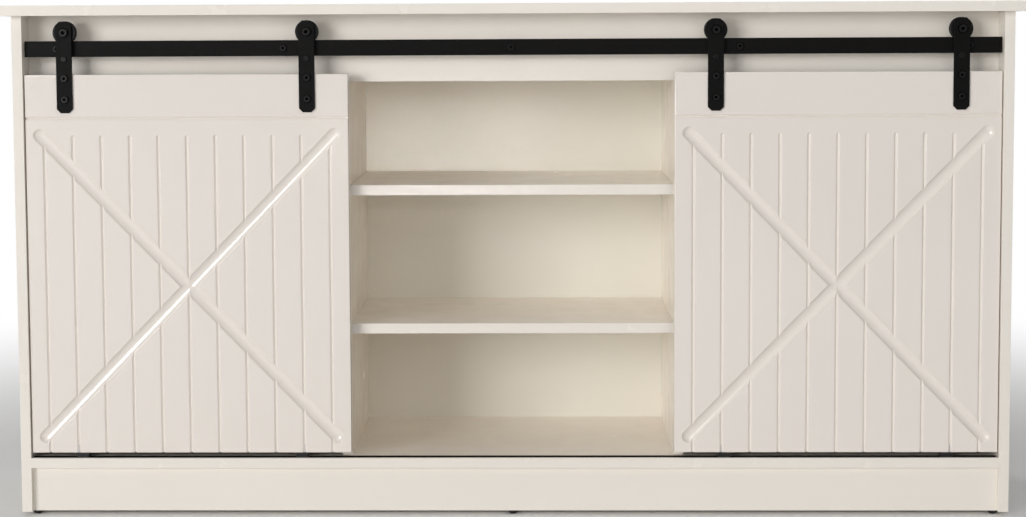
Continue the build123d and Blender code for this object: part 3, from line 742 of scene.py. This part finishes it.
def leaf_face(low, high, cuts):
    """Points and triangles of the leaf's front, seen flat.

    Every cut has contour lines at a few distances from its centre line, the outer edge has lines within
    its rounding, and a constrained triangulation ties them together where they cross.
    """
    points, edges = [], []
    for start, end, is_cove in cuts:
        for away in COVE_CONTOURS if is_cove else VEE_CONTOURS:
            loop = capsule(start, end, away, COVE_END_STEPS if is_cove else VEE_END_STEPS)
            first = sum(map(len, points))
            count = np.arange(len(loop))
            points.append(loop)
            edges.append(np.stack([first + count, first + (count + 1) % len(loop)], -1))
    for inset in LEAF_ROUND * (1 - np.cos(np.radians(np.linspace(0, 90, 6)))):
        a, b = low + inset, high - inset
        first = sum(map(len, points))
        points.append(np.array([(a[0], a[1]), (b[0], a[1]), (b[0], b[1]), (a[0], b[1])]))
        edges.append(first + np.array([(0, 1), (1, 2), (2, 3), (3, 0)]))
    flat = [Vector(p) for p in np.concatenate(points)]
    made, _, triangles, *_ = delaunay_2d_cdt(flat, np.concatenate(edges).tolist(), [], 0, MERGE)
    made = np.array([tuple(p) for p in made])
    triangles = np.array(triangles)
    middle = made[triangles].mean(1)
    within = ((middle > low) & (middle < high)).all(1)
    triangles = triangles[within]
    used, triangles = np.unique(triangles, return_inverse=True)
    return made[used], triangles.reshape(-1, 3)


def door_leaf(name, body):
    """A leaf: the milled front, its edges down to the back, and the flat back.

    A front point lies at the front plane plus its depth, and its normal is (slope across, -1, slope up),
    with each slope the depth's change over a small step. Each row of the edge draws in by
    r x (1 - cos a) and stops r x (1 - sin a) short of the back, with a from 0 to 90 degrees.
    """
    low3, high3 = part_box(name)
    low, high = np.array([low3.x, low3.z]), np.array([high3.x, high3.z])
    cuts = leaf_cuts(low, high)
    flat, triangles = leaf_face(low, high, cuts)
    flat = np.clip(flat, low, high)
    depth = leaf_depth(flat, low, high, cuts)
    front = np.stack([flat[:, 0], low3.y + depth, flat[:, 1]], -1)

    nudge = 0.03 * MM
    slope = []
    for step in (np.array([nudge, 0]), np.array([0, nudge])):
        ahead, behind = np.clip(flat + step, low, high), np.clip(flat - step, low, high)
        run = (ahead - behind) @ step / nudge
        deeper = leaf_depth(ahead, low, high, cuts) - leaf_depth(behind, low, high, cuts)
        slope.append(deeper / run)
    normals = np.stack([slope[0], -np.ones(len(flat)), slope[1]], -1)
    normals /= np.linalg.norm(normals, axis=1, keepdims=True)

    # The edge runs round the leaf anticlockwise as seen from the front.
    on_side = [abs(flat[:, 1] - low[1]) < MERGE / 2, abs(flat[:, 0] - high[0]) < MERGE / 2,
               abs(flat[:, 1] - high[1]) < MERGE / 2, abs(flat[:, 0] - low[0]) < MERGE / 2]
    ring = []
    for k, (coordinate, way) in enumerate(((0, 1), (1, 1), (0, -1), (1, -1))):
        found = np.nonzero(on_side[k])[0]
        ring.append(found[np.argsort(way * flat[found, coordinate])][:-1])
    ring = np.concatenate(ring)
    sideways = np.zeros((len(ring), 2))
    for k, direction in enumerate(((0, -1), (1, 0), (0, 1), (-1, 0))):
        sideways[on_side[k][ring]] += direction
    sideways /= np.linalg.norm(sideways, axis=1, keepdims=True)
    outward = np.sign(sideways).round()

    rows, row_normals, row_wear = [], [], []
    for a in np.linspace(0, np.pi / 2, 4):
        at = flat[ring] - outward * BACK_ROUND * (1 - math.cos(a))
        back = np.full(len(ring), high3.y - BACK_ROUND * (1 - math.sin(a)))
        rows.append(np.stack([at[:, 0], back, at[:, 1]], -1))
        tilt = sideways * math.cos(a)
        row_normals.append(np.stack([tilt[:, 0], np.full(len(ring), math.sin(a)), tilt[:, 1]], -1))
        row_wear.append(np.full(len(ring), math.sin(2 * a)))
    normals[ring] = np.stack([sideways[:, 0], np.zeros(len(ring)), sideways[:, 1]], -1)

    edge = np.minimum(flat - low, high - flat).min(1)
    wear = np.clip(1 - abs(edge - RUBBED_AT) / RUBBED_WIDTH, 0, 1)
    loops = [ring] + [len(flat) + k * len(ring) + np.arange(len(ring)) for k in range(len(rows))]
    faces = triangles.tolist()
    for one, two in zip(loops, loops[1:]):
        faces += np.stack([one, np.roll(one, -1), np.roll(two, -1), two], -1)[:, ::-1].tolist()
    kinds = [0] * len(faces)
    faces.append(loops[-1].tolist())
    kinds.append(1)
    face = front[triangles]
    if np.cross(face[:, 1] - face[:, 0], face[:, 2] - face[:, 0])[:, 1].sum() > 0:
        faces[:len(triangles)] = [f[::-1] for f in faces[:len(triangles)]]
    made = {
        "points": np.concatenate([front, *rows]), "normals": np.concatenate([normals, *row_normals]),
        "wear": np.concatenate([wear, *row_wear]), "faces": faces, "kinds": kinds,
    }
    piece(f"{name}_leaf", body, [made], [door_wrap, door_backing], [name])


for side in ("left", "right"):
    door_leaf(f"door_{side}", f"{side}_door")

# ---------------------------------------------------------------------------
# Steelwork, wheels and small fittings
# ---------------------------------------------------------------------------


def middle_of(node):
    """The middle of a node's box."""
    low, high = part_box(node)
    return (low + high) / 2


low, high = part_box("door_rail")
rail = box(low, high, 0.7 * MM, axis=0)
piece("door_rail_bar", CABINET, [rail], [powder_coat], ["door_rail"])

low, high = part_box("bottom_track")
wall = 1.2 * MM
section = [
    (low.y, low.z), (high.y, low.z), (high.y, high.z), (high.y - wall, high.z),
    (high.y - wall, low.z + wall), (low.y + wall, low.z + wall), (low.y + wall, high.z), (low.y, high.z),
]
channel = bar(rounded_outline(section, 0.3 * MM, 3), 0, low.x, high.x, 0.3 * MM)
piece("bottom_track_channel", CABINET, [channel], [powder_coat], ["bottom_track"])

RAIL_FIXINGS = np.arange(-2, 3) * 357 * MM
RAIL_HEIGHT = middle_of("door_rail").z
RAIL_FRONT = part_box("door_rail")[0].y
low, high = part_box("rail_screws")
heads = [socket_head((x, 0, RAIL_HEIGHT), 5.5 * MM, RAIL_FRONT, low.y, 4 * MM, 1.7 * MM) for x in RAIL_FIXINGS]
piece("rail_screw_heads", CABINET, heads, [black_oxide], ["rail_screws"])

SPACER_RADIUS, SPACER_ROUND = 8 * MM, 0.8 * MM
low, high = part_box("rail_spacers")
half = (high.y - low.y) / 2
section = [(0, -half), (SPACER_RADIUS, -half), (SPACER_RADIUS, half), (0, half)]
spacers = [turned(section, [0, SPACER_ROUND, SPACER_ROUND, 0], (x, (low.y + high.y) / 2, RAIL_HEIGHT), 1)
           for x in RAIL_FIXINGS]
piece("rail_spacer_tubes", CABINET, spacers, [powder_coat], ["rail_spacers"])


STRAP_CUT = 6 * MM
FLANGE, TREAD, BORE = 18 * MM, 12.7 * MM, 4.05 * MM
HUB, DISH, DISH_RIM = 8.2 * MM, 0.9 * MM, 14.2 * MM
DISH_SLOPE = 0.5 * MM
TREAD_HALF, FLANGE_INSIDE = 3.2 * MM, 4.2 * MM
STRAP_HEAD_RADIUS = 6 * MM


def strap(name, body):
    """A flat steel strap with its corners cut."""
    low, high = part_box(name)
    cut = STRAP_CUT
    corners = [(low.x + cut, low.z), (high.x - cut, low.z), (high.x, low.z + cut), (high.x, high.z - cut),
               (high.x - cut, high.z), (low.x + cut, high.z), (low.x, high.z - cut), (low.x, low.z + cut)]
    flat = bar(rounded_outline(corners, 0.5 * MM, 3), 1, low.y, high.y, 0.5 * MM)
    piece(f"{name}_bar", body, [flat], [powder_coat], [name])


def wheel(name, body):
    """A grooved wheel: two flanges beside a tread, a hub, and a shallow dish in each face."""
    low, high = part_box(name)
    half = (high.y - low.y) / 2
    near = [(BORE, -half), (HUB, -half), (HUB + DISH_SLOPE, -half + DISH), (DISH_RIM, -half + DISH),
            (DISH_RIM + DISH_SLOPE, -half), (FLANGE, -half), (FLANGE, -FLANGE_INSIDE), (TREAD, -TREAD_HALF)]
    far = [(distance, -along) for distance, along in reversed(near)]
    rounding = [0.3, 0.3, 0.25, 0.25, 0.3, 0.6, 0.3, 0.5]
    made = turned(near + far, np.array(rounding + rounding[::-1]) * MM, middle_of(name), 1, steps=72)
    piece(f"{name}_moulding", body, [made], [nylon], [name])


def shank(radius, front, rear, x, z, steps=40):
    """A round bolt shank from front to rear, with its far rim eased."""
    half = (rear - front) / 2
    section = [(0, -half), (radius, -half), (radius, half), (0, half)]
    return turned(section, [0, 0.2 * MM, 0.5 * MM, 0], (x, front + half, z), 1, steps=steps)


def nuts(corner_radius, front, rear, spots):
    """Hexagonal nuts between two faces, one at each (x, z)."""
    return [bar(hexagon_outline(spot, corner_radius, 0.5 * MM), 1, front, rear, 0.5 * MM) for spot in spots]


def axle_fittings(side, spots, strap_front):
    """The wheels' axle bolts, with a socket head on the strap's face, and their nuts."""
    body = f"{side}_door"
    low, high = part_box(f"axle_bolts_{side}")
    heads = [socket_head((x, 0, z), 7 * MM, strap_front, low.y, 5 * MM, 2.2 * MM) for x, z in spots]
    piece(f"axle_bolt_heads_{side}", body, heads, [black_oxide])
    shanks = [shank(4 * MM, strap_front, high.y, x, z) for x, z in spots]
    piece(f"axle_shafts_{side}", body, shanks, [black_oxide], [f"axle_bolts_{side}"])
    low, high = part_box(f"axle_nuts_{side}")
    set_of_nuts = nuts(7.4 * MM, low.y, high.y - 0.2 * MM, spots)
    piece(f"axle_nut_set_{side}", body, set_of_nuts, [black_oxide], [f"axle_nuts_{side}"])


def strap_fittings(side, places, strap_front):
    """The bolts that hold each strap to the leaf, two to a strap, and the nuts behind it."""
    body = f"{side}_door"
    low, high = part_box(f"strap_bolts_{side}")
    spots = [(x, z) for x in places for z in (low.z + STRAP_HEAD_RADIUS, high.z - STRAP_HEAD_RADIUS)]
    shells = [socket_head((x, 0, z), STRAP_HEAD_RADIUS, strap_front, low.y, 4 * MM, 1.8 * MM) for x, z in spots]
    shells += [shank(3 * MM, strap_front, high.y, x, z, steps=24) for x, z in spots]
    piece(f"strap_bolt_set_{side}", body, shells, [black_oxide], [f"strap_bolts_{side}"])
    low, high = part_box(f"strap_nuts_{side}")
    set_of_nuts = nuts(5.8 * MM, low.y, high.y, spots)
    piece(f"strap_nut_set_{side}", body, set_of_nuts, [black_oxide], [f"strap_nuts_{side}"])


def stop_pins(side, places):
    """The pins under the rail that keep the wheels from jumping off it, each with a flat head."""
    name = f"stop_pins_{side}"
    low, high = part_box(name)
    half, pin, head, head_length = (high.y - low.y) / 2, 3 * MM, 4.5 * MM, 2 * MM
    section = [(0, -half), (head, -half), (head, -half + head_length), (pin, -half + head_length),
               (pin, half), (0, half)]
    rounding = np.array([0, 0.7, 0.2, 0.2, 0.5, 0]) * MM
    middle = middle_of(name)
    pins = [turned(section, rounding, (x, middle.y, middle.z), 1) for x in places]
    piece(f"stop_pin_set_{side}", f"{side}_door", pins, [black_oxide], [name])


for side in ("left", "right"):
    for place_name in ("outer", "inner"):
        strap(f"strap_{side}_{place_name}", f"{side}_door")
        wheel(f"wheel_{side}_{place_name}", f"{side}_{place_name}_wheel")
    places = [middle_of(f"strap_{side}_{place_name}").x for place_name in ("outer", "inner")]
    axle_height = middle_of(f"axle_bolts_{side}").z
    strap_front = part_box(f"strap_{side}_outer")[0].y
    axle_fittings(side, [(x, axle_height) for x in places], strap_front)
    strap_fittings(side, places, strap_front)
    stop_pins(side, places)

# ---------------------------------------------------------------------------
# Room, light and camera
# ---------------------------------------------------------------------------


FLOOR_REACH = 12.0
FADE_FROM, FADE_TO = 0.9, 2.4


def stage_floor():
    """A pale floor that takes the stand's shadow near it and fades to white further out.

    The fade follows the distance from the middle and is only what the camera sees: as a light, the
    floor stays a plain pale surface.
    """
    mesh = bpy.data.meshes.new("studio_floor")
    corners = [(x * FLOOR_REACH, y * FLOOR_REACH, 0) for x, y in ((-1, -1), (1, -1), (1, 1), (-1, 1))]
    mesh.from_pydata(corners, [], [(0, 1, 2, 3)])
    floor = bpy.data.objects.new("studio_floor", mesh)
    bpy.context.scene.collection.objects.link(floor)
    material, tree, shader = new_material("pale studio floor")
    cloud = use(tree, "mottle", Scale=1.5, Contrast=1.2)
    shade = blend_colour(tree, cloud, (0.88, 0.88, 0.875), (0.92, 0.92, 0.915))
    tree.links.new(shade, shader.inputs["Base Color"])
    dull = blend_number(tree, use(tree, "mottle", Scale=6.0, Contrast=1.2), 0.6, 0.75)
    tree.links.new(dull, shader.inputs["Roughness"])
    where = add(tree, "ShaderNodeTexCoord").outputs["Object"]
    away = add(tree, "ShaderNodeVectorMath", {0: where}, operation="LENGTH").outputs["Value"]
    far = add(tree, "ShaderNodeMapRange", {"Value": away, "From Min": FADE_FROM, "From Max": FADE_TO},
              interpolation_type="SMOOTHSTEP").outputs[0]
    seen = add(tree, "ShaderNodeLightPath").outputs["Is Camera Ray"]
    fade = add(tree, "ShaderNodeMath", {0: far, 1: seen}, operation="MULTIPLY").outputs[0]
    white = add(tree, "ShaderNodeEmission", {"Color": (1, 1, 1, 1), "Strength": 1.0}).outputs[0]
    both = add(tree, "ShaderNodeMixShader", {0: fade, 1: shader.outputs[0], 2: white}).outputs[0]
    tree.links.new(both, tree.nodes["Material Output"].inputs["Surface"])
    mesh.materials.append(material)


def soft_light(name, place_at, aim, width, height, power, in_gloss, spread=180):
    """A rectangular soft light facing a point. The camera never sees it, and gloss only where asked."""
    data = bpy.data.lights.new(name, "AREA")
    data.shape, data.size, data.size_y, data.energy = "RECTANGLE", width, height, power
    data.spread = math.radians(spread)
    lamp = bpy.data.objects.new(name, data)
    lamp.location = place_at
    lamp.rotation_euler = (aim - place_at).to_track_quat("-Z", "Y").to_euler()
    lamp.visible_camera = False
    lamp.visible_glossy = in_gloss
    bpy.context.scene.collection.objects.link(lamp)


def studio_world(seen, mirrored, given):
    """White where the camera sees past the floor, dimmer in gloss, and dimmer still as a light."""
    world = bpy.data.worlds.new("studio")
    world.use_nodes = True
    tree = world.node_tree
    tree.nodes.clear()
    path = add(tree, "ShaderNodeLightPath").outputs
    plain = add(tree, "ShaderNodeMapRange",
                {"Value": path["Is Glossy Ray"], "To Min": given, "To Max": mirrored})
    strength = add(tree, "ShaderNodeMix", {0: path["Is Camera Ray"], 2: plain.outputs[0], 3: seen})
    sky = add(tree, "ShaderNodeBackground", {"Color": (1, 1, 1, 1), "Strength": strength.outputs[0]})
    tree.links.new(sky.outputs[0], tree.nodes.new("ShaderNodeOutputWorld").inputs["Surface"])
    bpy.context.scene.world = world


def aimed_camera(location, yaw, pitch, roll, lens, shift):
    """A camera that looks along +Y, turned right by yaw, up by pitch and rolled, all in radians."""
    ahead = Vector((math.sin(yaw) * math.cos(pitch), math.cos(yaw) * math.cos(pitch), math.sin(pitch)))
    level = Vector((math.cos(yaw), -math.sin(yaw), 0))
    upright = level.cross(ahead)
    right = level * math.cos(roll) + upright * math.sin(roll)
    up = upright * math.cos(roll) - level * math.sin(roll)
    data = bpy.data.cameras.new("camera")
    data.lens, data.sensor_width, data.sensor_fit = lens, 36.0, "HORIZONTAL"
    data.shift_x, data.shift_y = shift
    data.dof.use_dof = False
    camera = bpy.data.objects.new("camera", data)
    turn = Matrix((right, up, -ahead)).transposed()
    camera.matrix_world = Matrix.Translation(location) @ turn.to_4x4()
    bpy.context.scene.collection.objects.link(camera)
    bpy.context.scene.camera = camera


STAND_MIDDLE = Vector((0.0, 0.0, 0.45))
# name: degrees right of straight ahead, degrees up, distance, width, height, watts, shows in gloss
SOFTBOXES = {
    "key softbox": (-38, 8, 9.5, 4.2, 3.4, 435, True),
    "high front fill": (6, 20, 4.0, 2.6, 1.8, 25, False),
    "right fill": (38, 6, 4.0, 2.2, 1.8, 8, False),
    "overhead fill": (0, 80, 2.8, 3.4, 2.2, 24, False),
    "left rear fill": (-140, 24, 4.5, 2.4, 1.8, 58, False),
    "right rear fill": (140, 24, 4.5, 2.4, 1.8, 44, False),
}
stage_floor()
studio_world(seen=1.0, mirrored=0.2, given=0.06)
for name, (turn, rise, distance, *the_rest) in SOFTBOXES.items():
    turn, rise = math.radians(turn), math.radians(rise)
    away = Vector((math.sin(turn) * math.cos(rise), -math.cos(turn) * math.cos(rise), math.sin(rise)))
    soft_light(name, STAND_MIDDLE + distance * away, STAND_MIDDLE, *the_rest)
# The header shades the upper open bay, so that bay has a narrow light of its own.
soft_light("bay light", Vector((0.5, -1.5, 0.74)), Vector((-0.09, 0.0, 0.585)), width=0.34, height=0.05,
           power=0.06, in_gloss=False, spread=9)
aimed_camera(
    location=(0.04207, -3.15247, 0.77448), yaw=-0.02028, pitch=-0.07381, roll=-0.00495, lens=67.38,
    shift=(0.01335, -0.088))
bpy.context.scene.view_settings.view_transform = "Standard"
bpy.context.scene.cycles.max_bounces = 16
bpy.context.scene.cycles.diffuse_bounces = 12  # pale boards pass light on many times inside the open bays
